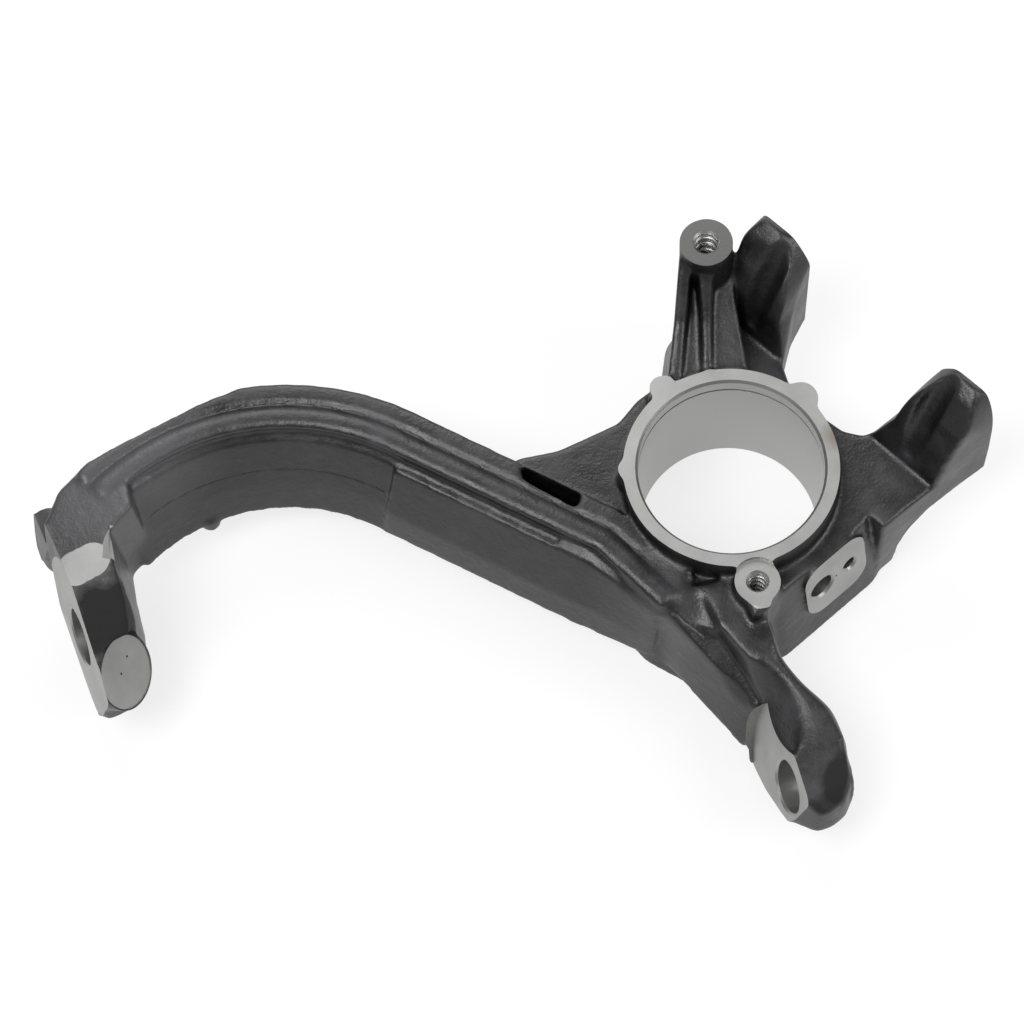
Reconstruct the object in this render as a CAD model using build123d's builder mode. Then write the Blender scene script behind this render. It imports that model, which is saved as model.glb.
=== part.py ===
from build123d import *
import os
from math import atan2, cos, degrees, hypot, radians, sin, tan

# Front steering knuckle, one iron casting with machined seats.
# Z is the wheel bearing axis and Z = 0 is the machined face of the bearing ring.
# The neck runs out along -X to the upper ball joint, and the steering arm runs out along -Y.
# Sizes are in millimetres, angles in degrees.

# Bearing housing
bearing_bore = 84.0
housing_depth = 72.0
ring_wall = 6.7
bore_lip_depth = 7.0
snap_groove_depth = 1.4
snap_groove_width = 2.0

# Cast body round the housing
body_top = -15.0
body_draft = 10.0
wall_distance = 56.0
wall_heading = -69.3

# Rib and pocket between neck and ring
pocket_floor = -26.0

# Neck
neck_top = -8.0
neck_rise = 4.5
neck_height = 52.0
neck_width = 23.0
neck_side_slant = 17.0
arm_side_slant = 2.5
parting_drop = 33.0
arm_corner = 6.0
bead_width = 11.0
bead_lift = 1.5
groove_depth = 3.0
groove_width = 3.5
under_bead_groove = 1.5
neck_bend_radius = 103.0
neck_bend_turn = 80.0
proud_step = 2.5

# Joint lugs at the two ends
joint_tilt = 14.0
seat_mill = 76.0
seat_clearance = 40.0
neck_bore = 27.0
neck_bore_depth = 20.0
neck_face_x = -300.6
neck_bore_y = 35.0
neck_bore_z = -16.0
neck_face_turn = 4.0
arm_bore = 24.0
arm_face_x = -28.0
arm_bore_y = -137.5
arm_bore_z = -38.0
arm_face_turn = -4.0
arm_bore_depth = 50.0
stop_pad_diameter = 35.0
stop_pad_depth = 12.0
spot_face_margin = 1.0
knob_diameter = 20.0
knob_height = 36.0

# Small nub under the bend of the neck
nub_x = -229.0
nub_y = 84.0
nub_z = -52.0
nub_diameter = 10.0
nub_height = 9.0

# Caliper ears
ear_heading = 25.0
ear_reach = 90.0
ear_offsets = (-59.0, 53.0)
ear_width = 31.0
ear_top = 38.0
ear_bottom = -33.0
ear_hole = 12.5
ear_hole_depth = 18.0
ear_channel_radius = 6.5
ear_channel_side = -8.0
ear_crowns = (-4.0, 1.0)

# Bracket post behind the ring
post_x = 25.0
post_y = 94.0
post_top = 32.0
post_diameter = 24.4
post_hole = 10.5
post_hole_depth = 30.0

# Small boss beside the ring
boss_x = -9.7
boss_y = -55.3
boss_top = -2.0
boss_diameter = 20.6
boss_height = 40.0
boss_tab_depth = 18.0
boss_hole = 8.5
boss_hole_depth = 22.0

# Speed sensor pad on the side wall
sensor_along = 9.0
sensor_z = -34.0
sensor_hole = 12.5
sensor_hole_depth = 40.0
sensor_bolt_hole = 6.8
sensor_bolt_depth = 18.0
sensor_hole_spacing = 17.0
sensor_pad_lift = 2.0
sensor_pad_width = 36.0
sensor_pad_height = 38.0
sensor_pad_corner = 10.0
sensor_pad_depth = 14.0

bore_radius = bearing_bore / 2
ear_half = ear_width / 2
ring_radius = bore_radius + ring_wall
ear_x = Vector(cos(radians(ear_heading)), sin(radians(ear_heading)), 0)
ear_y = Vector(-sin(radians(ear_heading)), cos(radians(ear_heading)), 0)
wall_out = Vector(cos(radians(wall_heading)), sin(radians(wall_heading)), 0)
wall_along = Vector(-sin(radians(wall_heading)), cos(radians(wall_heading)), 0)


def from_ear(reach, offset):
    """Plan point given along and across the heading of the caliper ears."""
    point = ear_x * reach + ear_y * offset
    return (point.X, point.Y)


def from_wall(distance, along):
    """Plan point given out from and along the sensor wall."""
    point = wall_out * distance + wall_along * along
    return (point.X, point.Y)


# Body plate: its outline at the top face, drafted outwards down to the lower face
body_outline = [
    from_wall(wall_distance, -22),
    from_wall(wall_distance, 31),
    from_ear(60, -32),
    from_ear(53, -20),
    from_ear(52, -5),
    from_ear(54, 14),
    from_ear(60, 24),
    from_ear(58, 56),
    (post_x + 6, post_y + 2),
    (post_x - 10, post_y),
    (-3, 60),
    (-25, 53),
    (-37, 45.5),
    (-52, 44),
    (-67, 42.5),
    (-88, 46),
    (-98, 34),
    (-66, -6),
    (-52, -44),
    (-34, -66),
]
with BuildPart() as body:
    with BuildSketch(Plane.XY.offset(body_top)) as body_plan:
        with BuildLine():
            Polyline(*body_outline, close=True)
        make_face()
        fillet(body_plan.vertices(), radius=4)
    extrude(amount=-(housing_depth + body_top), taper=-body_draft)


def neck_section(proud, slant):
    """Section of the neck, near side at +x, with the bead's near edge at the origin."""
    far = -neck_width
    groove = -bead_width - groove_width / 2
    foot = slant * 0.15 + proud
    with BuildSketch() as section:
        with BuildLine():
            Polyline(
                (far - 3, -neck_height),
                (far, 0),
                (groove - groove_width / 2, 0),
                (groove, -groove_depth),
                (groove + groove_width / 2, 0),
                (-bead_width * 0.7, bead_lift),
                (-bead_width * 0.3, bead_lift),
                (0, 0),
                (0, -under_bead_groove),
                (-under_bead_groove, -2.5 * under_bead_groove),
                (foot, -4 * under_bead_groove),
                (slant * 0.72 + proud, -parting_drop),
                (slant, -neck_height),
                close=True,
            )
        make_face()
    return section.sketch


# Neck: a straight beam past the ring, then a wide bend towards the upper joint
neck_plane = Plane(
    origin=(-60, -28, neck_top),
    x_dir=(cos(radians(neck_rise)), 0, -sin(radians(neck_rise))),
    z_dir=(sin(radians(neck_rise)), 0, cos(radians(neck_rise))),
)
with BuildLine(neck_plane) as beam_path:
    beam_line = Line((-10, 15), (-78, 89))
with BuildLine(neck_plane) as root_path:
    root_line = Line((6.7, -22), (-10, 15))
with BuildLine(neck_plane) as bend_path:
    bend_arc = JernArc((-78, 89), (-84, 99), radius=neck_bend_radius, arc_size=neck_bend_turn)


def section_plane(path, position):
    """Plane across a path, with its x direction level and pointing to the near side."""
    tangent = path % position
    up = neck_plane.z_dir
    return Plane(origin=path @ position, x_dir=tangent.cross(up) * -1, z_dir=tangent)


corner_heading = (root_line % 1 + beam_line % 0).normalized()
corner_plane = Plane(
    origin=beam_line @ 0,
    x_dir=corner_heading.cross(neck_plane.z_dir) * -1,
    z_dir=corner_heading,
)
with BuildPart() as beam:
    with BuildSketch(corner_plane):
        add(neck_section(proud_step, neck_side_slant))
    with BuildSketch(section_plane(beam_line, 1)):
        add(neck_section(proud_step, neck_side_slant))
    loft(ruled=True)

with BuildPart() as root:
    with BuildSketch(section_plane(root_line, 0)):
        add(neck_section(0, arm_side_slant))
    with BuildSketch(corner_plane):
        add(neck_section(proud_step, neck_side_slant))
    loft(ruled=True)

bend_trim_outline = [
    (-160, 116),
    (-190, 119),
    (-214, 117),
    (-256, 109),
    (-272, 105),
    (-281, 99.5),
    (-292, 88),
    (-310, 110),
    (-300, 140),
    (-160, 140),
]
with BuildPart() as bend:
    with BuildSketch(section_plane(bend_arc, 0)):
        add(neck_section(0, neck_side_slant))
    sweep(path=bend_arc)
    with BuildSketch(Plane.XY.offset(-80)):
        with BuildLine():
            Polyline(*bend_trim_outline, close=True)
        make_face()
    extrude(amount=140, mode=Mode.SUBTRACT)

# Steering arm: plan outline and side outline of one lug, met by intersection
arm_outline = [
    (-38, -44),
    (-36, -67),
    (-29, -86),
    (-25, -100),
    (-31, -109),
    (-34, -130),
    (-33, -146),
    (-23, -160.5),
    (-16, -160.5),
    (-8, -157),
    (-1, -148),
    (4, -130),
    (4.5, -114),
    (-3.5, -99),
    (-7.5, -86),
    (-5, -60),
    (-10, -36),
]
arm_side = [
    (-36, -9),
    (-98, -13),
    (-120, -18),
    (-150, -20),
    (-168, -32),
    (-160, -43),
    (-142, -55),
    (-128, -63),
    (-112, -68),
    (-60, -66),
    (-36, -62),
]
with BuildPart() as arm:
    with BuildSketch(Plane.XY.offset(-40)) as arm_plan:
        with BuildLine():
            Polyline(*arm_outline, close=True)
        make_face()
        fillet(arm_plan.vertices(), radius=arm_corner)
    extrude(amount=32, taper=9)
    extrude(arm_plan.sketch, amount=-32, taper=-4)
    with BuildSketch(Plane.YZ) as arm_elevation:
        with BuildLine():
            Polyline(*arm_side, close=True)
        make_face()
        fillet(arm_elevation.vertices(), radius=8)
    extrude(amount=80, both=True, mode=Mode.INTERSECT)

# Sloping flank that runs from the neck's side down to the milled face of the arm, as upright cuts
flank_root = [(-54, -10), (-25, -10), (-25, -62), (-58, -62)]
flank_end = [(-25, -37), (-12, -37), (-12, -64), (-36, -64)]
with BuildPart() as flank:
    with BuildSketch(Plane.XZ.offset(44)):
        with BuildLine():
            Polyline(*flank_root, close=True)
        make_face()
    with BuildSketch(Plane.XZ.offset(106)):
        with BuildLine():
            Polyline(*flank_end, close=True)
        make_face()
    loft(ruled=True)

# Upper joint lug: same way, with its top falling away towards the tip
lug_outline = [
    (-256, 110),
    (-274, 106),
    (-288, 97),
    (-300, 80),
    (-306, 60),
    (-306, 8),
    (-301, 1),
    (-292, 2),
    (-284, 8),
    (-277.5, 22),
    (-274.5, 36),
    (-273.3, 54),
    (-271, 68),
    (-258, 76),
]
lug_side = [
    (112, 2),
    (96, 7),
    (62, 12),
    (50, 13),
    (4, -6),
    (-4, -20),
    (-2, -36),
    (10, -44),
    (50, -47),
    (112, -42),
]
with BuildPart() as lug:
    with BuildSketch(Plane.XY.offset(-56)) as lug_plan:
        with BuildLine():
            Polyline(*lug_outline, close=True)
        make_face()
        fillet(lug_plan.vertices(), radius=3)
    extrude(amount=80)
    with BuildSketch(Plane.YZ.offset(-280)) as lug_elevation:
        with BuildLine():
            Polyline(*lug_side, close=True)
        make_face()
        fillet(lug_elevation.vertices(), radius=5)
    extrude(amount=80, both=True, mode=Mode.INTERSECT)

# Caliper ear, drawn reaching along +X with its pad centre on Y = 0 and the gap between the ears on -Y
ear_plan_outline = [
    (30, -36),
    (60, -30),
    (76, -21),
    (ear_reach, -17),
    (ear_reach, 16),
    (76, 13),
    (58, 10),
    (42, 8),
    (30, 7),
]
ear_side_outline = [
    (30, -housing_depth),
    (42, -housing_depth),
    (44, -57),
    (49, -46),
    (60, -39),
    (76, -36),
    (ear_reach, ear_bottom),
    (ear_reach, ear_top - 4),
    (ear_reach - 3, ear_top),
    (80, ear_top - 5),
    (71, 20),
    (65, 4),
    (60, body_top),
    (30, body_top),
]


def caliper_ear(crown):
    """One ear, the crown of its arch lying a little to one side, with a channel down its inner face."""
    with BuildPart() as ear:
        with BuildSketch(Plane.XY.offset(-housing_depth)):
            with BuildLine():
                Polyline(*ear_plan_outline, close=True)
            make_face()
        extrude(amount=housing_depth + 50)
        with BuildSketch(Plane.XZ):
            with BuildLine():
                Polyline(*ear_side_outline, close=True)
            make_face()
        extrude(amount=60, both=True, mode=Mode.INTERSECT)
        with BuildSketch(Plane.YZ):
            with BuildLine():
                base = Polyline((-40, -housing_depth), (19, -housing_depth), (ear_half, 0))
                shoulder = Polyline((-40, -housing_depth), (-40, body_top), (-28, body_top), (-21, 4))
                Spline(shoulder @ 1, (-17.5, 22), (crown, ear_top), base @ 1, tangents=((0.1, 1), (0, -1)))
            make_face()
        extrude(amount=120, mode=Mode.INTERSECT)
        with Locations(Plane(origin=(57, ear_channel_side, -8), z_dir=(0.5, 0, 1))):
            Cylinder(
                ear_channel_radius,
                2 * ear_top,
                align=(Align.CENTER, Align.CENTER, Align.MIN),
                mode=Mode.SUBTRACT,
            )
    return ear.part


# Buttress that carries the post back to the ring, drawn along +X: a low block with two ribs on it
post_heading = degrees(atan2(post_y, post_x))
post_reach = hypot(post_x, post_y)


def upright_rib(plan, profile):
    """Block that stands on a plan outline and is cut to a side outline."""
    with BuildPart() as rib:
        with BuildSketch(Plane.XY.offset(-housing_depth)):
            with BuildLine():
                Polyline(*plan, close=True)
            make_face()
        extrude(amount=housing_depth + 50)
        with BuildSketch(Plane.XZ):
            with BuildLine():
                Polyline(*profile, close=True)
            make_face()
        extrude(amount=60, both=True, mode=Mode.INTERSECT)
    return rib.part


rib_start = ring_radius - 3
block_plan = [(rib_start, -14), (post_reach, -11), (post_reach, 11), (70, 18), (rib_start, 24)]
block_profile = [
    (rib_start, -4),
    (84, 8),
    (post_reach, 12),
    (post_reach, 12 - housing_depth),
    (rib_start, -housing_depth),
]
left_rib_plan = [(post_reach, 6), (post_reach, 12), (70, 18), (rib_start, 24), (rib_start, 17), (70, 12)]
left_rib_profile = [
    (rib_start, -2),
    (70, 10),
    (post_reach - 6, post_top - 3),
    (post_reach, post_top - 3),
    (post_reach, -40),
    (rib_start, -40),
]
middle_rib_plan = [(post_reach, -4), (post_reach, 5), (74, 5), (rib_start, 7.5), (rib_start, 3), (74, 0)]
middle_rib_profile = [
    (rib_start, -3),
    (68, 9),
    (post_reach - 10, post_top - 6),
    (post_reach, post_top - 6),
    (post_reach, -40),
    (rib_start, -40),
]
buttress = [
    upright_rib(block_plan, block_profile),
    upright_rib(left_rib_plan, left_rib_profile),
    upright_rib(middle_rib_plan, middle_rib_profile),
]

# Seats of the two joint studs: the cutter's axis leaves the lug along the mount's direction
def joint_axis(turn):
    level = cos(radians(joint_tilt))
    return Vector(-level * cos(radians(turn)), -level * sin(radians(turn)), sin(radians(joint_tilt)))


neck_seat = Plane(origin=(neck_face_x, neck_bore_y, neck_bore_z), z_dir=joint_axis(neck_face_turn))
arm_seat = Plane(origin=(arm_face_x, arm_bore_y, arm_bore_z), z_dir=joint_axis(arm_face_turn))
stop_pad = Plane(origin=(-285.6, 11.5, -16), z_dir=(0.746, -0.499, 0.443))
draft = radians(body_draft)
sensor_drop = sensor_z - body_top
sensor_out = (wall_out * cos(draft) + Vector(0, 0, sin(draft))).normalized()
sensor_point = wall_out * (wall_distance - sensor_drop * tan(draft)) + wall_along * sensor_along
sensor_plane = Plane(
    origin=Vector(sensor_point.X, sensor_point.Y, sensor_z) + sensor_out * sensor_pad_lift,
    x_dir=wall_along,
    z_dir=sensor_out,
)
boss_tab_outline = [
    (boss_x - 8, boss_y - 4),
    (boss_x - 8, boss_y - 14.5),
    (boss_x + 1, boss_y - 13.5),
    (boss_x + 5, boss_y - 4),
]
lobes = [(25.5, 46.5, 8), (106.8, 50, 6), (160.5, 45.5, 5.5)]

# Pocket sunk in the neck's flat top where it passes the ring
pocket_outline = [(-88, 39), (-66.5, 15), (-71, 9.5), (-88.5, 31)]

with BuildPart() as knuckle:
    add(body.part)
    add(root.part)
    add(beam.part)
    add(bend.part)
    add(arm.part)
    add(flank.part)
    add(lug.part)
    for offset, crown in zip(ear_offsets, ear_crowns):
        place = Location(ear_y * offset) * Rotation(0, 0, ear_heading)
        blank = caliper_ear(crown)
        if offset < 0:
            blank = blank.mirror(Plane.XZ)
        add(blank.moved(place))
    for block in buttress:
        add(block.moved(Rotation(0, 0, post_heading)))
    Cylinder(ring_radius, housing_depth, align=(Align.CENTER, Align.CENTER, Align.MAX))
    with Locations((post_x, post_y, post_top)):
        Cylinder(post_diameter / 2, post_top + housing_depth - 12, align=(Align.CENTER, Align.CENTER, Align.MAX))
    with Locations((boss_x, boss_y, boss_top)):
        Cylinder(boss_diameter / 2, boss_height, align=(Align.CENTER, Align.CENTER, Align.MAX))
    with BuildSketch(Plane.XY.offset(boss_top)):
        with BuildLine():
            Polyline(*boss_tab_outline, close=True)
        make_face()
    extrude(amount=-boss_tab_depth)
    for heading, reach, radius in lobes:
        with Locations((reach * cos(radians(heading)), reach * sin(radians(heading)), 0)):
            Cylinder(radius, housing_depth, align=(Align.CENTER, Align.CENTER, Align.MAX))
    with Locations((-298, 88, -6)):
        Cylinder(knob_diameter / 2, knob_height, align=(Align.CENTER, Align.CENTER, Align.MAX))
    with Locations((nub_x, nub_y, nub_z)):
        Cylinder(nub_diameter / 2, nub_height, align=(Align.CENTER, Align.CENTER, Align.MIN))
    with BuildSketch(sensor_plane):
        RectangleRounded(sensor_pad_width, sensor_pad_height, sensor_pad_corner)
    extrude(amount=-sensor_pad_depth)
    with Locations(stop_pad):
        Cylinder(stop_pad_diameter / 2, stop_pad_depth, align=(Align.CENTER, Align.CENTER, Align.MAX))

    # Bearing bore with its ring groove
    Cylinder(bore_radius, 3 * housing_depth, mode=Mode.SUBTRACT)
    with Locations((0, 0, -bore_lip_depth)):
        Cylinder(
            bore_radius + snap_groove_depth,
            snap_groove_width,
            align=(Align.CENTER, Align.CENTER, Align.MAX),
            mode=Mode.SUBTRACT,
        )

    # Deep pocket in the neck's top, with a thin rib left on each side
    with BuildSketch(Plane.XY.offset(pocket_floor)):
        with BuildLine():
            Polyline(*pocket_outline, close=True)
        make_face()
    extrude(amount=60, mode=Mode.SUBTRACT)

    # Milled joint faces and their bores, and the spot face of the stop pad
    with Locations(stop_pad):
        Cylinder(
            stop_pad_diameter / 2 + spot_face_margin,
            seat_clearance,
            align=(Align.CENTER, Align.CENTER, Align.MIN),
            mode=Mode.SUBTRACT,
        )
    with Locations(neck_seat):
        Box(
            3 * seat_mill,
            3 * seat_mill,
            seat_clearance,
            align=(Align.CENTER, Align.CENTER, Align.MIN),
            mode=Mode.SUBTRACT,
        )
    for seat, bore, depth in ((neck_seat, neck_bore, neck_bore_depth), (arm_seat, arm_bore, arm_bore_depth)):
        with Locations(seat):
            Cylinder(seat_mill / 2, seat_clearance, align=(Align.CENTER, Align.CENTER, Align.MIN), mode=Mode.SUBTRACT)
            Cylinder(bore / 2, depth, align=(Align.CENTER, Align.CENTER, Align.MAX), mode=Mode.SUBTRACT)

    # Drilled holes in the post, the boss, the ears and the sensor pad
    with Locations((post_x, post_y, post_top)):
        Cylinder(post_hole / 2, post_hole_depth, align=(Align.CENTER, Align.CENTER, Align.MAX), mode=Mode.SUBTRACT)
    with Locations((boss_x, boss_y, boss_top)):
        Cylinder(boss_hole / 2, boss_hole_depth, align=(Align.CENTER, Align.CENTER, Align.MAX), mode=Mode.SUBTRACT)
    for offset in ear_offsets:
        pad = ear_x * ear_reach + ear_y * offset
        with Locations(Plane(origin=pad, z_dir=ear_x)):
            Cylinder(ear_hole / 2, ear_hole_depth, align=(Align.CENTER, Align.CENTER, Align.MAX), mode=Mode.SUBTRACT)
    with Locations(sensor_plane):
        with Locations((-sensor_hole_spacing / 2, 0)):
            Cylinder(sensor_hole / 2, sensor_hole_depth, align=(Align.CENTER, Align.CENTER, Align.MAX), mode=Mode.SUBTRACT)
        with Locations((sensor_hole_spacing / 2, 0)):
            Cylinder(sensor_bolt_hole / 2, sensor_bolt_depth, align=(Align.CENTER, Align.CENTER, Align.MAX), mode=Mode.SUBTRACT)

os.makedirs("parts", exist_ok=True)
knuckle.part.label = "knuckle"
export_step(knuckle.part, "parts/knuckle.step")
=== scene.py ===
from math import cos, pi, radians, sin, tan

import bmesh
import bpy
from mathutils import Matrix, Vector


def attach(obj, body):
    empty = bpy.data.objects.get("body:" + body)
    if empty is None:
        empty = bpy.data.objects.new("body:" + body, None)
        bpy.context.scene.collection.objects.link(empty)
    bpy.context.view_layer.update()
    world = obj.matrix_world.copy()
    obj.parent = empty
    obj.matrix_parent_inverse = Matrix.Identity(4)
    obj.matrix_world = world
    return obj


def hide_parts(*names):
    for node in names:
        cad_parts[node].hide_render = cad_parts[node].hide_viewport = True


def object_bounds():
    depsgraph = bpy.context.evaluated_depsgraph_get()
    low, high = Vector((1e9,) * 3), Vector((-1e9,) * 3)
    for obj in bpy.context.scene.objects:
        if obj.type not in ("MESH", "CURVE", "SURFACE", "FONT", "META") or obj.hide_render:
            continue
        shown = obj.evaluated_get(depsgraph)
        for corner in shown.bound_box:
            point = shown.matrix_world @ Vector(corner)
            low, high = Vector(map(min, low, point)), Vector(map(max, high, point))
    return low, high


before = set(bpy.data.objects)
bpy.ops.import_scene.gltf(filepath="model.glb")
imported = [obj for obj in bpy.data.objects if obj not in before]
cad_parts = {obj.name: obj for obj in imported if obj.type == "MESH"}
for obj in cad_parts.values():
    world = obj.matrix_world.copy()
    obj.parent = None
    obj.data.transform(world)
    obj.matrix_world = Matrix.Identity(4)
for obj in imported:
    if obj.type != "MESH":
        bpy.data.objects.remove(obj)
cad_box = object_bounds()
MM = 0.001
UP = Vector((0, 0, 1))


def square_to(axis, direction):
    """Unit vector square to a unit axis, nearest to a given direction."""
    direction = Vector(direction)
    return (direction - axis * direction.dot(axis)).normalized()


# Camera: it stands where the photograph was taken, above and in front of the knuckle
camera_data = bpy.data.cameras.new("photo_camera")
camera_data.lens = 90
camera_data.sensor_width = 36
camera_data.clip_start = 0.05
camera = bpy.data.objects.new("photo_camera", camera_data)
bpy.context.scene.collection.objects.link(camera)
camera_place = (-0.1983, -0.4355, 1.0497)
camera_right = Vector((0.938, -0.341, -0.058)).normalized()
camera_back = square_to(camera_right, (-0.086, -0.393, 0.916))
camera_up = camera_back.cross(camera_right)
camera_turn = Matrix((camera_right, camera_up, camera_back)).transposed().to_4x4()
camera.matrix_world = Matrix.Translation(camera_place) @ camera_turn
bpy.context.scene.camera = camera


# Materials
def linear(hex_code):
    """sRGB hex colour to the linear values that Blender works in."""
    channels = [int(hex_code[i:i + 2], 16) / 255 for i in (1, 3, 5)]
    return tuple(c / 12.92 if c <= 0.04045 else ((c + 0.055) / 1.055) ** 2.4 for c in channels) + (1,)


def node(tree, kind, values=None, links=None, **settings):
    """Adds one shader or geometry node with its settings, socket values and incoming links."""
    made = tree.nodes.new(kind)
    for name, value in settings.items():
        setattr(made, name, value)
    for socket, value in (values or {}).items():
        made.inputs[socket].default_value = value
    for socket, source in (links or {}).items():
        tree.links.new(source, made.inputs[socket])
    return made


def new_material(name, metallic, roughness, colour):
    """Material with its node tree and its shader, set to the values that the real one starts from."""
    material = bpy.data.materials.new(name)
    material.use_nodes = True
    tree = material.node_tree
    shader = tree.nodes["Principled BSDF"]
    shader.inputs["Metallic"].default_value = metallic
    shader.inputs["Roughness"].default_value = roughness
    shader.inputs["Base Color"].default_value = linear(colour)
    return material, tree, shader


def ramp_colours(ramp, stops):
    """Sets a colour ramp's stops from (position, hex colour) pairs."""
    elements = ramp.color_ramp.elements
    while len(elements) < len(stops):
        elements.new(0.5)
    for element, (position, colour) in zip(elements, stops):
        element.position = position
        element.color = linear(colour)


def coated_cast_iron():
    """Sand-cast iron under a thin black dip coat: satin, mottled, with a sand grain of about a millimetre."""
    material, tree, shader = new_material("coated_cast_iron", 0.0, 0.4, "#262628")
    shader.inputs["Specular IOR Level"].default_value = 0.6
    place = node(tree, "ShaderNodeTexCoord")
    # The grain is 1.2 mm, the swell of the skin 4 mm and the clouds in the coat 17 mm
    grain = node(tree, "ShaderNodeTexNoise", {"Scale": 850.0, "Detail": 2.0, "Roughness": 0.6},
                 {"Vector": place.outputs["Object"]})
    skin = node(tree, "ShaderNodeTexNoise", {"Scale": 230.0, "Detail": 3.0, "Roughness": 0.55},
                {"Vector": place.outputs["Object"]})
    cloud = node(tree, "ShaderNodeTexNoise", {"Scale": 60.0, "Detail": 5.0, "Roughness": 0.6},
                 {"Vector": place.outputs["Object"]})
    colour = node(tree, "ShaderNodeValToRGB", links={"Fac": cloud.outputs["Fac"]})
    ramp_colours(colour, [(0.3, "#121214"), (0.5, "#222224"), (0.7, "#353538")])
    # Painted shade and highlight: pointiness darkens creases and lightens convex edges, and ambient
    # occlusion darkens hollows, as the light falling on the form would
    form = node(tree, "ShaderNodeNewGeometry")
    depth = node(tree, "ShaderNodeMapRange", {"From Min": 0.43, "From Max": 0.57},
                 {"Value": form.outputs["Pointiness"]})
    coat = node(tree, "ShaderNodeValToRGB", links={"Fac": depth.outputs["Result"]})
    ramp_colours(coat, [(0.0, "#5c5c5c"), (0.5, "#d8d8d8"), (1.0, "#ffffff")])
    pocket = node(tree, "ShaderNodeAmbientOcclusion", {"Distance": 0.014}, samples=8)
    painted_pocket_shade = node(tree, "ShaderNodeValToRGB", links={"Fac": pocket.outputs["AO"]})
    ramp_colours(painted_pocket_shade, [(0.35, "#404040"), (0.85, "#ffffff")])
    # This product is painted shade in the hollows and painted highlight on the edges
    worn = node(tree, "ShaderNodeMix", {"Factor": 1.0},
                {"A": coat.outputs["Color"], "B": painted_pocket_shade.outputs["Color"]}, data_type="RGBA",
                blend_type="MULTIPLY")
    shaded = node(tree, "ShaderNodeMix", {"Factor": 1.0},
                  {"A": colour.outputs["Color"], "B": worn.outputs["Result"]}, data_type="RGBA",
                  blend_type="MULTIPLY")
    gloss = node(tree, "ShaderNodeMapRange", {
        "From Min": 0.3, "From Max": 0.7, "To Min": 0.34, "To Max": 0.5}, {"Value": cloud.outputs["Fac"]})
    # Three places differ: where they are, how far they reach and fade, their colour, how much of it
    # shows, and their roughness. A lighter grey patch on the neck and lug tops is a painted highlight, and
    # dull black patches at the lug's inner flat and at the tip of the arm are painted shade. Their edges
    # wander by a few millimetres
    painted_highlight_lug = ((-0.262, 0.098, 0.012), 0.055, 0.030, "#48484a", 0.75, 0.42)
    painted_shade_lug = ((-0.2835, 0.032, 0.0), 0.021, 0.006, "#040404", 0.95, 0.9)
    painted_shade_tip = ((-0.008, -0.147, -0.02), 0.014, 0.006, "#040404", 0.95, 0.9)
    ragged = node(tree, "ShaderNodeMapRange", {"To Min": -0.012, "To Max": 0.012},
                  {"Value": cloud.outputs["Fac"]})
    paint, finish = shaded.outputs["Result"], gloss.outputs["Result"]
    for spot, reach, fade, shade, amount, dullness in (painted_highlight_lug, painted_shade_lug, painted_shade_tip):
        distance = node(tree, "ShaderNodeVectorMath", {1: spot}, {0: place.outputs["Object"]},
                        operation="DISTANCE")
        edge = node(tree, "ShaderNodeMath", links={
            0: distance.outputs["Value"], 1: ragged.outputs["Result"]}, operation="ADD")
        patch = node(tree, "ShaderNodeMapRange", {
            "From Min": reach, "From Max": reach - fade, "To Max": amount}, {"Value": edge.outputs["Value"]})
        paint = node(tree, "ShaderNodeMix", {"B": linear(shade)}, {
            "Factor": patch.outputs["Result"], "A": paint}, data_type="RGBA").outputs["Result"]
        finish = node(tree, "ShaderNodeMix", {"B": dullness}, {
            "Factor": patch.outputs["Result"], "A": finish}).outputs["Result"]
    tree.links.new(paint, shader.inputs["Base Color"])
    tree.links.new(finish, shader.inputs["Roughness"])
    coarse = node(tree, "ShaderNodeBump", {"Strength": 0.6, "Distance": 0.0005},
                  {"Height": skin.outputs["Fac"]})
    fine = node(tree, "ShaderNodeBump", {"Strength": 0.7, "Distance": 0.0002},
                {"Height": grain.outputs["Fac"], "Normal": coarse.outputs["Normal"]})
    tree.links.new(fine.outputs["Normal"], shader.inputs["Normal"])
    return material


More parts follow.
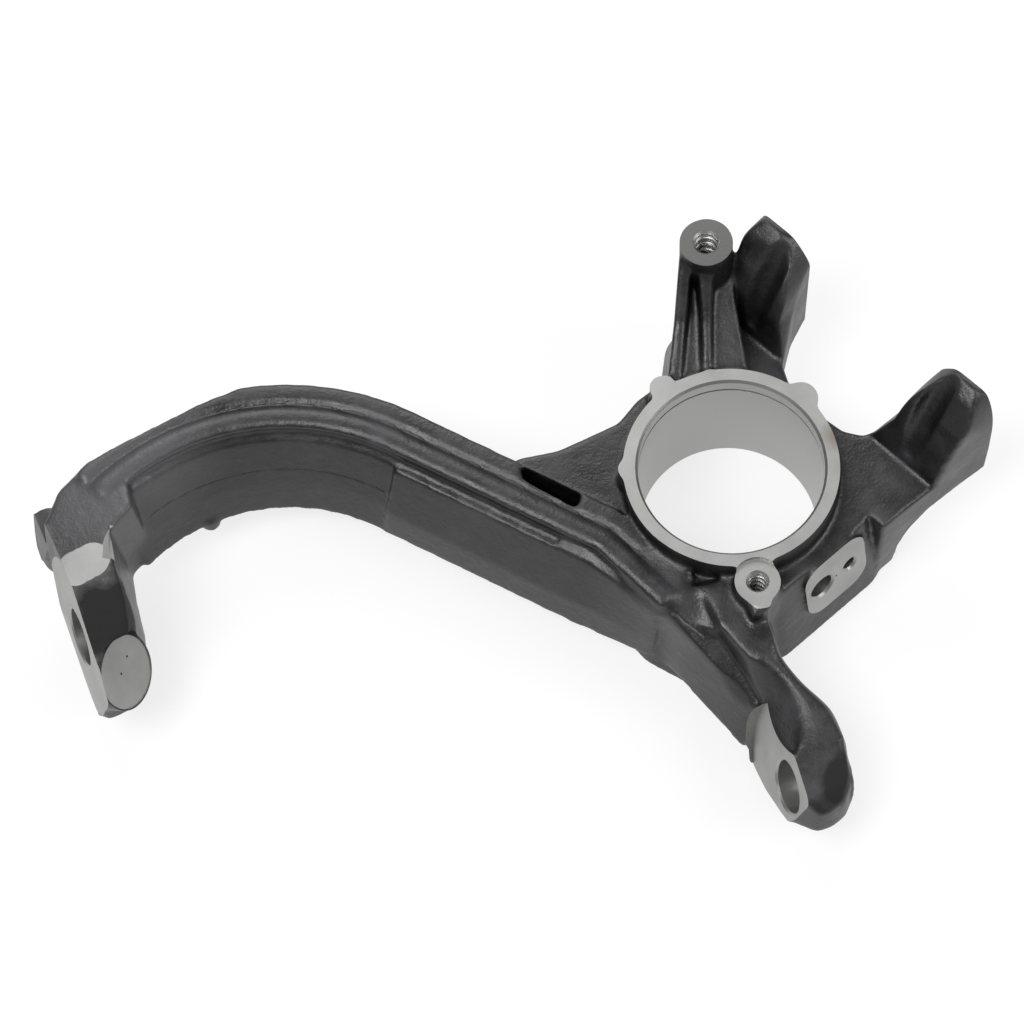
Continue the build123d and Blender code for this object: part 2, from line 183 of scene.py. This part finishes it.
def milled_iron():
    """Bare milled iron: light warm grey, with fine upright tool marks and one brown water stain."""
    material, tree, shader = new_material("milled_iron", 1.0, 0.48, "#a4a4a2")
    place = node(tree, "ShaderNodeTexCoord")
    # The marks are 0.9 mm apart and ten times as long, coarser than real ones so that they show
    upright = node(tree, "ShaderNodeMapping", {"Scale": (1.0, 1.0, 0.1)}, {"Vector": place.outputs["Object"]})
    marks = node(tree, "ShaderNodeTexNoise", {"Scale": 1100.0, "Detail": 2.0},
                 {"Vector": upright.outputs["Vector"]})
    tone = node(tree, "ShaderNodeTexNoise", {"Scale": 70.0, "Detail": 3.0},
                {"Vector": place.outputs["Object"]})
    colour = node(tree, "ShaderNodeValToRGB", links={"Fac": tone.outputs["Fac"]})
    ramp_colours(colour, [(0.3, "#9c9c9a"), (0.7, "#a9a9a7")])
    # The stain sits on the outer edge of the ring face and fades out 9 mm from its middle
    stain_place = (0.0497, -0.004, 0.0)
    distance = node(tree, "ShaderNodeVectorMath", {1: stain_place}, {0: place.outputs["Object"]},
                    operation="DISTANCE")
    stain = node(tree, "ShaderNodeMapRange", {
        "From Min": 0.002, "From Max": 0.009, "To Min": 0.55, "To Max": 0.0,
    }, {"Value": distance.outputs["Value"]})
    stained = node(tree, "ShaderNodeMix", {"B": linear("#6b5a3c")},
                   {"Factor": stain.outputs["Result"], "A": colour.outputs["Color"]}, data_type="RGBA")
    tree.links.new(stained.outputs["Result"], shader.inputs["Base Color"])
    bump = node(tree, "ShaderNodeBump", {"Strength": 0.4, "Distance": 0.0001},
                {"Height": marks.outputs["Fac"]})
    tree.links.new(bump.outputs["Normal"], shader.inputs["Normal"])
    return material


def bored_iron():
    """Fine-bored iron: bright grey, with tool rings round the wheel axis."""
    material, tree, shader = new_material("bored_iron", 1.0, 0.42, "#a9a9a7")
    place = node(tree, "ShaderNodeTexCoord")
    # The rings are 1.6 mm apart, coarser than real ones so that they show
    turns = node(tree, "ShaderNodeTexWave", {"Scale": 200.0, "Distortion": 1.5, "Detail": 2.0},
                 {"Vector": place.outputs["Object"]}, wave_type="BANDS", bands_direction="Z")
    bump = node(tree, "ShaderNodeBump", {"Strength": 0.15, "Distance": 0.0001},
                {"Height": turns.outputs["Fac"]})
    tree.links.new(bump.outputs["Normal"], shader.inputs["Normal"])
    return material


def darker_machined_iron():
    """Machined iron darker than the other machined faces, as the top of the bracket post is: marks of about a
    millimetre.
    """
    material, tree, shader = new_material("darker_machined_iron", 1.0, 0.45, "#636362")
    place = node(tree, "ShaderNodeTexCoord")
    marks = node(tree, "ShaderNodeTexNoise", {"Scale": 900.0, "Detail": 2.0},
                 {"Vector": place.outputs["Object"]})
    bump = node(tree, "ShaderNodeBump", {"Strength": 0.3, "Distance": 0.0001},
                {"Height": marks.outputs["Fac"]})
    tree.links.new(bump.outputs["Normal"], shader.inputs["Normal"])
    return material


cast_skin = coated_cast_iron()
milled = milled_iron()
bored = bored_iron()
darker_machined = darker_machined_iron()


# Mesh helpers: they take millimetres and make meshes in metres
def mesh_object(name, mesh, material=None):
    """Object for a mesh, linked to the scene."""
    made = bpy.data.objects.new(name, mesh)
    bpy.context.scene.collection.objects.link(made)
    if material:
        mesh.materials.append(material)
    return made


def object_from(shape, name, material=None):
    """Object for a bmesh, which is used up."""
    mesh = bpy.data.meshes.new(name)
    shape.to_mesh(mesh)
    shape.free()
    return mesh_object(name, mesh, material)


def drop(piece):
    """Removes an object together with its mesh."""
    mesh = piece.data
    bpy.data.objects.remove(piece)
    bpy.data.meshes.remove(mesh)


def finished_mesh(piece):
    """Bakes a piece's modifiers into its mesh."""
    graph = bpy.context.evaluated_depsgraph_get()
    mesh = bpy.data.meshes.new_from_object(piece.evaluated_get(graph))
    piece.modifiers.clear()
    old = piece.data
    piece.data = mesh
    bpy.data.meshes.remove(old)


def turned(centre, axis, profile, material=None, steps=96):
    """Solid turned about an axis from (distance along the axis, radius) pairs."""
    axis = Vector(axis).normalized()
    across = axis.orthogonal().normalized()
    other = axis.cross(across)
    shape = bmesh.new()
    rings = []
    for along, radius in profile:
        ring = []
        for i in range(steps):
            turn = 2 * pi * i / steps
            out = across * cos(turn) + other * sin(turn)
            ring.append(shape.verts.new((Vector(centre) + axis * along + out * radius) * MM))
        rings.append(ring)
    for low, high in zip(rings, rings[1:]):
        for i in range(steps):
            j = (i + 1) % steps
            shape.faces.new((low[i], low[j], high[j], high[i]))
    shape.faces.new(list(reversed(rings[0])))
    shape.faces.new(rings[-1])
    bmesh.ops.recalc_face_normals(shape, faces=shape.faces)
    return object_from(shape, "turned", material)


def slab(centre, axis, along, size, depth, material=None):
    """Flat block standing out from a plane: its size is along and across that plane."""
    axis = Vector(axis).normalized()
    first = square_to(axis, along)
    second = axis.cross(first)
    shape = bmesh.new()
    bmesh.ops.create_cube(shape, size=1)
    for corner in shape.verts:
        x, y, z = corner.co
        corner.co = (Vector(centre) + first * x * size[0] + second * y * size[1]
                     + axis * (z + 0.5) * depth) * MM
    bmesh.ops.recalc_face_normals(shape, faces=shape.faces)
    return object_from(shape, "slab", material)


def stock_on(mesh, centre, axis, height, reach):
    """Machining stock: the flat face of the casting at a seat, raised, with its foot sunk in by 1 mm."""
    axis = Vector(axis).normalized()
    centre = Vector(centre) * MM
    foot = 1
    shape = bmesh.new()
    shape.from_mesh(mesh)
    others = []
    for face in shape.faces:
        middle = face.calc_center_median() - centre
        flat = face.normal.dot(axis) > 0.999 and abs(middle.dot(axis)) < 0.05 * MM
        if not flat or middle.length >= reach * MM:
            others.append(face)
    bmesh.ops.delete(shape, geom=others, context="FACES")
    for corner in shape.verts:
        corner.co = corner.co - axis * foot * MM
    raised = bmesh.ops.extrude_face_region(shape, geom=list(shape.faces))
    for item in raised["geom"]:
        if isinstance(item, bmesh.types.BMVert):
            item.co += axis * (height + foot) * MM
    bmesh.ops.recalc_face_normals(shape, faces=shape.faces)
    return object_from(shape, "stock")


def joined(pieces, name):
    """One object from several, which are used up."""
    shape = bmesh.new()
    for piece in pieces:
        shape.from_mesh(piece.data)
        drop(piece)
    return object_from(shape, name)


def soften(piece, centre, reach, turns):
    """Wears one place of a piece smoother; the wear fades out at its reach."""
    group = piece.vertex_groups.new(name="worn")
    centre = Vector(centre) * MM
    for corner in piece.data.vertices:
        far = (corner.co - centre).length / (reach * MM)
        if far < 1:
            group.add([corner.index], 1 - far * far, "REPLACE")
    step = piece.modifiers.new("soften", "SMOOTH")
    step.factor = 0.5
    step.iterations = turns
    step.vertex_group = "worn"
    finished_mesh(piece)
    piece.vertex_groups.clear()


def add_details(piece, details):
    """Adds small separate meshes to a piece that already has their materials."""
    shape = bmesh.new()
    shape.from_mesh(piece.data)
    for detail in details:
        slot = list(piece.data.materials).index(detail.data.materials[0])
        for face in detail.data.polygons:
            face.material_index = slot
        shape.from_mesh(detail.data)
        drop(detail)
    shape.to_mesh(piece.data)
    shape.free()


def cut(piece, tool):
    """Cuts one tool out of a piece; the cut takes the tool's material."""
    bpy.context.view_layer.update()
    step = piece.modifiers.new("cut", "BOOLEAN")
    step.operation = "DIFFERENCE"
    step.solver = "MANIFOLD"
    step.object = tool
    step.material_mode = "TRANSFER"
    finished_mesh(piece)
    drop(tool)


def mill(piece, seat, radius, material, height=8, steps=96):
    """Mills a seat flat and round: what stands on it within the radius, up to the height, goes."""
    cut(piece, turned(*seat, [(0, radius), (height, radius)], material, steps))


def bead_nodes():
    """Geometry nodes: a thin uneven bead that follows a curve, as the flash at a mould's parting does."""
    group = bpy.data.node_groups.new("uneven_bead", "GeometryNodeTree")
    group.interface.new_socket("Curve", in_out="INPUT", socket_type="NodeSocketGeometry")
    for name, value in (("Radius", 0.0006), ("Step", 0.0015), ("Unevenness", 0.0006)):
        group.interface.new_socket(name, in_out="INPUT", socket_type="NodeSocketFloat").default_value = value
    group.interface.new_socket("Sides", in_out="INPUT", socket_type="NodeSocketInt").default_value = 6
    group.interface.new_socket("Material", in_out="INPUT", socket_type="NodeSocketMaterial")
    group.interface.new_socket("Mesh", in_out="OUTPUT", socket_type="NodeSocketGeometry")
    given = node(group, "NodeGroupInput")
    spaced = node(group, "GeometryNodeResampleCurve", links={
        "Curve": given.outputs["Curve"], "Length": given.outputs["Step"]}, mode="LENGTH")
    place = node(group, "GeometryNodeInputPosition")
    rough = node(group, "ShaderNodeTexNoise", {"Scale": 180.0, "Detail": 3.0},
                 {"Vector": place.outputs["Position"]})
    centred = node(group, "ShaderNodeVectorMath", {1: (0.5, 0.5, 0.5)}, {0: rough.outputs["Color"]},
                   operation="SUBTRACT")
    shift = node(group, "ShaderNodeVectorMath", links={
        0: centred.outputs["Vector"], "Scale": given.outputs["Unevenness"]}, operation="SCALE")
    moved = node(group, "GeometryNodeSetPosition", links={
        "Geometry": spaced.outputs["Curve"], "Offset": shift.outputs["Vector"]})
    section = node(group, "GeometryNodeCurvePrimitiveCircle", links={
        "Radius": given.outputs["Radius"], "Resolution": given.outputs["Sides"]})
    bead = node(group, "GeometryNodeCurveToMesh", {"Fill Caps": True}, {
        "Curve": moved.outputs["Geometry"], "Profile Curve": section.outputs["Curve"]})
    real = node(group, "GeometryNodeRealizeInstances", links={"Geometry": bead.outputs["Mesh"]})
    painted = node(group, "GeometryNodeSetMaterial", links={
        "Geometry": real.outputs["Geometry"], "Material": given.outputs["Material"]})
    node(group, "NodeGroupOutput", links={"Mesh": painted.outputs["Geometry"]})
    return group


uneven_bead = bead_nodes()


def bead_along(points, material, **sizes):
    """Mesh object of a bead along points; sizes are the node group's named inputs, in metres."""
    line = bpy.data.curves.new("bead_path", "CURVE")
    line.dimensions = "3D"
    spline = line.splines.new("POLY")
    spline.points.add(len(points) - 1)
    for spot, place in zip(spline.points, points):
        spot.co = (*(Vector(place) * MM), 1)
    path = bpy.data.objects.new("bead_path", line)
    bpy.context.scene.collection.objects.link(path)
    step = path.modifiers.new("bead", "NODES")
    step.node_group = uneven_bead
    given = {"Material": material, **sizes}
    for socket in uneven_bead.interface.items_tree:
        if socket.item_type == "SOCKET" and socket.in_out == "INPUT" and socket.name in given:
            step[socket.identifier] = given[socket.name]
    graph = bpy.context.evaluated_depsgraph_get()
    mesh = bpy.data.meshes.new_from_object(path.evaluated_get(graph))
    bpy.data.objects.remove(path)
    bpy.data.curves.remove(line)
    return mesh_object("bead", mesh)


def stud_axis(turn):
    """Outward axis of a joint stud: away from the wheel along -X, turned by some degrees and tilted up."""
    tilt = radians(14)
    return Vector((-cos(tilt) * cos(radians(turn)), -cos(tilt) * sin(radians(turn)), sin(tilt)))


def along_neck(degrees, radius, down):
    """Points that follow the bend of the neck, at a radius and a depth below its top."""
    x, y, z = neck_root
    points = []
    for degree in degrees:
        along = bend_middle + radius * cos(radians(degree))
        points.append(Vector((
            x + along * cos(neck_rise) - down * sin(neck_rise),
            y + radius * sin(radians(degree)),
            z - along * sin(neck_rise) - down * cos(neck_rise),
        )))
    return points


# Places of the CAD part, in millimetres: the neck rises outwards from its root, and the middle of
# its bend is measured along that slope
neck_rise = radians(4.5)
neck_root = (-60, -5.6, -8)
bend_middle = -156.6
bead_radius = 100.2
inner_radius = 94
parting_depth = 25

# The pads of both caliper ears face the same way, and the sensor pad lies on the sloped outer wall
ear_turn = radians(25)
ear_out = Vector((cos(ear_turn), sin(ear_turn), 0))
ear_side = Vector((-sin(ear_turn), cos(ear_turn), 0))
ear_distance = 90
wall_turn = radians(-69.3)
wall_slope = radians(10)
wall_distance = 56
body_top = -15
pad_height = -34
pad_lift = 2
wall_side = Vector((-sin(wall_turn), cos(wall_turn), 0))
wall_out = Vector((cos(wall_turn) * cos(wall_slope), sin(wall_turn) * cos(wall_slope), sin(wall_slope)))
wall_reach = wall_distance + (body_top - pad_height) * tan(wall_slope)
wall_foot = Vector((cos(wall_turn), sin(wall_turn), 0)) * wall_reach
sensor_pad = wall_foot + wall_side * 9 + wall_out * pad_lift + Vector((0, 0, pad_height))

# Seats: centre and outward direction
neck_seat = (Vector((-300.6, 35, -16)), stud_axis(4))
arm_seat = (Vector((-28, -137.5, -38)), stud_axis(-4))
stop_seat = (Vector((-285.6, 11.5, -16)), Vector((0.746, -0.499, 0.443)).normalized())
post_seat = (Vector((25, 94, 32)), UP)
boss_seat = (Vector((-9.7, -55.3, -2)), UP)
ring_seat = (Vector((0, 0, 0)), UP)
sensor_seat = (sensor_pad, wall_out)
ear_seats = [(ear_out * ear_distance + ear_side * offset, ear_out) for offset in (-59, 53)]

# Sizes of the machining; the lobes on the ring have a heading, a reach and a radius
bore_radius = 42
bore_depth = 72
groove_radius = 43.2
ring_radius = 49.5
back_radius = 50
lobes = ((25.5, 46.5, 8), (106.8, 50, 6), (160.5, 45.5, 5.5))
lobe_margin = 0.5
joint_mill = 38
post_radius = 16
post_core = 5.25
boss_radius = 10.8
boss_core = 4.25
boss_lobe_radius = 7.5
stop_radius = 16.6
stop_rim_radius = 18.5
ear_core = 6.25
sensor_side = wall_side * 8.5
holes = [
    (neck_seat, 13.5, 20), (arm_seat, 12, 50), (post_seat, post_core, 30), (boss_seat, boss_core, 22),
    (ear_seats[0], ear_core, 18), (ear_seats[1], ear_core, 18),
    ((sensor_pad - sensor_side, wall_out), 6.25, 21), ((sensor_pad + sensor_side, wall_out), 3.4, 18),
]

# Casting: the CAD solid with stock on its seats, remeshed and worn smooth as a sand casting is
shape = bmesh.new()
shape.from_mesh(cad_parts["knuckle"].data)
bmesh.ops.remove_doubles(shape, verts=shape.verts, dist=0.000001)
solid = object_from(shape, "solid")

# The top of the steering arm is scooped away down to the point of its milled face
scoop_radius = 34
scoop_foot = Vector((-24.1, -105.8, -31.3))
scoop_axis = Vector((0.635, -0.144, 0.76)).normalized()
scoop_out = square_to(scoop_axis, (-0.70, -0.08, 0.60))
scoop_ends = [(-45, scoop_radius), (60, scoop_radius)]
cut(solid, turned(scoop_foot + scoop_out * scoop_radius, scoop_axis, scoop_ends))

# The ledge under the bead of the neck is hollowed to a cove, round the bend and then straight in
cove = along_neck(range(43, 112, 3), bead_radius, 3.3)
cove.insert(0, cove[0] + Vector((0.675, -0.736, -0.053)) * 88)
cut(solid, bead_along(cove, None, Radius=0.0034, Step=0.002, Unevenness=0.0, Sides=16))

# Stock stands on every seat, and plugs fill the holes and the bore, so that only cast edges are worn.
# The size of the voxels and the turns of smoothing decide how round those edges get
stock = 3
deepest_plug = 28
voxel = 0.85
edge_wear = 30
parts = [solid]
for (centre, axis), reach in (
    (neck_seat, 120), (arm_seat, 120), (stop_seat, 30), (post_seat, 16), (boss_seat, 12),
    (ring_seat, 60), (sensor_seat, 40), (ear_seats[0], 60), (ear_seats[1], 60),
):
    parts.append(stock_on(solid.data, centre, axis, stock, reach))
for seat, radius, depth in holes:
    plug = [(1 - min(depth, deepest_plug), radius + 1), (stock, radius + 1)]
    parts.append(turned(*seat, plug, steps=32))
parts.append(turned(*ring_seat, [(-bore_depth, bore_radius + 3), (stock, bore_radius + 3)]))
casting = joined(parts, "knuckle_casting")
remesh = casting.modifiers.new("remesh", "REMESH")
remesh.mode = "VOXEL"
remesh.voxel_size = voxel * MM
smooth = casting.modifiers.new("smooth", "SMOOTH")
smooth.factor = 0.5
smooth.iterations = edge_wear
finished_mesh(casting)

# The bead of the neck dies away into the body instead of stopping short, and the rim of the scoop
# is worn round
soften(casting, (-47, -42, -10), 26, 120)
soften(casting, (-8, -107, -15), 25, 400)
lighter = casting.modifiers.new("lighter", "DECIMATE")
lighter.ratio = 0.26
finished_mesh(casting)
casting.data.materials.clear()
casting.data.materials.append(cast_skin)

# Machining starts with the flat faces: the ring with its three lobes, the back of the bore, the
# post and the small boss with its side lobe
mill(casting, ring_seat, ring_radius, milled)
for heading, reach, radius in lobes:
    lobe = (reach * cos(radians(heading)), reach * sin(radians(heading)), 0)
    mill(casting, (lobe, UP), radius + lobe_margin, milled, steps=48)
mill(casting, ((0, 0, 0.4 - bore_depth), -UP), back_radius, milled)
mill(casting, post_seat, post_radius, darker_machined, steps=48)
mill(casting, boss_seat, boss_radius, milled, steps=48)
mill(casting, (boss_seat[0] + Vector((-3.2, -9, 0)), UP), boss_lobe_radius, milled, steps=48)

# The upper joint seat: what stands proud is trimmed first, and stays cast where the mill doesn't
# reach. The head of the lug is trimmed at the solid's own limit
neck_centre, neck_axis = neck_seat
cut(casting, slab(*neck_seat, (0, 1, 0), (170, 110), 12, cast_skin))
mill(casting, (neck_centre - neck_axis * 0.2, neck_axis), joint_mill, milled, height=12)
cut(casting, slab((-307.9, 40, -20), (-1, 0, 0), (0, 1, 0), (120, 120), 12, cast_skin))

# The arm's joint seat, the stop pad with a narrow cast rim, the sensor pad and the caliper ears
mill(casting, arm_seat, joint_mill, milled, height=20)
stop_centre, stop_axis = stop_seat
mill(casting, (stop_centre + stop_axis * 0.3, stop_axis), stop_rim_radius, cast_skin, height=12, steps=64)
mill(casting, stop_seat, stop_radius, milled, height=12, steps=64)
cut(casting, slab(*sensor_seat, wall_side, (44, 46), 6, milled))
for seat in ear_seats:
    cut(casting, slab(*seat, ear_side, (60, 110), 8, milled))

# The bearing bore has a snap-ring groove near its mouth and a lead-in chamfer
cut(casting, turned(*ring_seat, [
    (-bore_depth - 4, bore_radius), (-8.7, bore_radius), (-8.6, groove_radius), (-7.4, groove_radius),
    (-7.3, bore_radius), (-1.2, bore_radius), (1, bore_radius + 2),
], bored, 160))
for seat, radius, depth in holes:
    cut(casting, turned(*seat, [(-depth, radius), (-1, radius), (1, radius + 2)], bored, 48))

# Small marks: punch dots of the machinist on the stop pad and the sensor pad
for place, axis in (((-282.8, 17.6, -13.8), stop_axis), ((-287.5, 10.5, -13.9), stop_axis), sensor_seat):
    cut(casting, turned(place, axis, [(-0.6, 0.1), (0.4, 0.9)], cast_skin, 16))

# Gate marks ground off the upper joint lug: a long flat, made by three passes of the wheel,
# and a small facet beside it
for gate in ((-282.5, 56.2, 11.4), (-286.5, 55.6, 11.4), (-290.5, 55, 11.4)):
    mill(casting, (gate, (-0.02, -0.02, 1)), 8.4, milled, height=4, steps=64)
mill(casting, ((-272.5, 62, 9.4), (0.6, -0.25, 0.76)), 8.5, milled, height=6, steps=64)

# Parting flash along the inner side of the neck's bend
flash = along_neck(range(42, 121, 2), inner_radius, parting_depth)
details = [bead_along(flash, cast_skin, Radius=0.0007, Step=0.0012, Unevenness=0.0012)]

# Cold fold in the skin where the neck's side runs out against the body
fold = [(-49, -52, -12), (-47, -54, -12.5), (-45.5, -57, -14.5), (-43.5, -59, -16), (-41.5, -62, -17.5),
        (-39, -66, -19)]
details.append(bead_along(fold, cast_skin, Radius=0.0009, Step=0.0012, Unevenness=0.0012))

# Threads cut in the upright holes of the post and of the small boss
pitch = 1.5
thread_start = -1.5
round_points = 24
for (centre, axis), radius, depth in ((post_seat, post_core, 27), (boss_seat, boss_core, 20)):
    helix = []
    for i in range(round_points * int(depth / pitch)):
        turn = 2 * pi * i / round_points
        down = pitch * i / round_points
        helix.append(centre + Vector((radius * cos(turn), radius * sin(turn), thread_start - down)))
    details.append(bead_along(helix, bored, Radius=0.0004, Step=0.001, Unevenness=0.0))
add_details(casting, details)
casting.data.shade_smooth()
casting.data.set_sharp_from_angle(angle=radians(35))

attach(casting, "root")
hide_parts("knuckle")


# Floor: white paper that glows towards the camera and in reflections, as a lit sweep does
floor_half = 6
floor_gap = 0.5 * MM
floor_mesh = bpy.data.meshes.new("floor")
floor_mesh.from_pydata([
    (-floor_half, -floor_half, 0), (floor_half, -floor_half, 0), (floor_half, floor_half, 0),
    (-floor_half, floor_half, 0),
], [], [(0, 1, 2, 3)])
floor_mesh.transform(Matrix.Translation((0, 0, cad_box[0][2] - floor_gap)))
paper, paper_tree, paper_shader = new_material("white_paper", 0.0, 0.9, "#f4f4f4")
light_path = node(paper_tree, "ShaderNodeLightPath")
glow = node(paper_tree, "ShaderNodeEmission", {"Color": (1, 1, 1, 1), "Strength": 1.0})
mirrored = node(paper_tree, "ShaderNodeMath", links={
    0: light_path.outputs["Is Camera Ray"], 1: light_path.outputs["Is Glossy Ray"]}, operation="MAXIMUM")
shown = node(paper_tree, "ShaderNodeMath", links={
    0: mirrored.outputs["Value"], 1: light_path.outputs["Is Transmission Ray"]}, operation="MAXIMUM")
seen = node(paper_tree, "ShaderNodeMath", {1: 0.75}, {0: shown.outputs["Value"]}, operation="MULTIPLY")
mixed = node(paper_tree, "ShaderNodeMixShader", links={
    "Fac": seen.outputs["Value"], 1: paper_shader.outputs["BSDF"], 2: glow.outputs["Emission"]})
paper_tree.links.new(mixed.outputs["Shader"], paper_tree.nodes["Material Output"].inputs["Surface"])
floor = mesh_object("floor", floor_mesh, paper)

# World and lamps: a dim white room with three soft boxes
world = bpy.data.worlds.new("studio")
bpy.context.scene.world = world
world.use_nodes = True
world.node_tree.nodes["Background"].inputs["Color"].default_value = (1, 1, 1, 1)
world.node_tree.nodes["Background"].inputs["Strength"].default_value = 0.22


def soft_lamp(name, place, size, power):
    """Square soft box, aimed at the middle of the knuckle."""
    lamp = bpy.data.lights.new(name, "AREA")
    lamp.size = size
    lamp.energy = power
    holder = bpy.data.objects.new(name, lamp)
    bpy.context.scene.collection.objects.link(holder)
    holder.location = place
    aim = Vector((-0.1, 0, -0.03)) - Vector(place)
    holder.rotation_euler = aim.to_track_quat("-Z", "Y").to_euler()


soft_lamp("key_box", (-0.7, -0.2, 1.4), 0.7, 18)
soft_lamp("fill_box", (1.0, -0.6, 1.0), 0.8, 11)
soft_lamp("back_box", (0.2, 1.2, 1.0), 0.9, 12)

bpy.context.scene.view_settings.view_transform = "Standard"
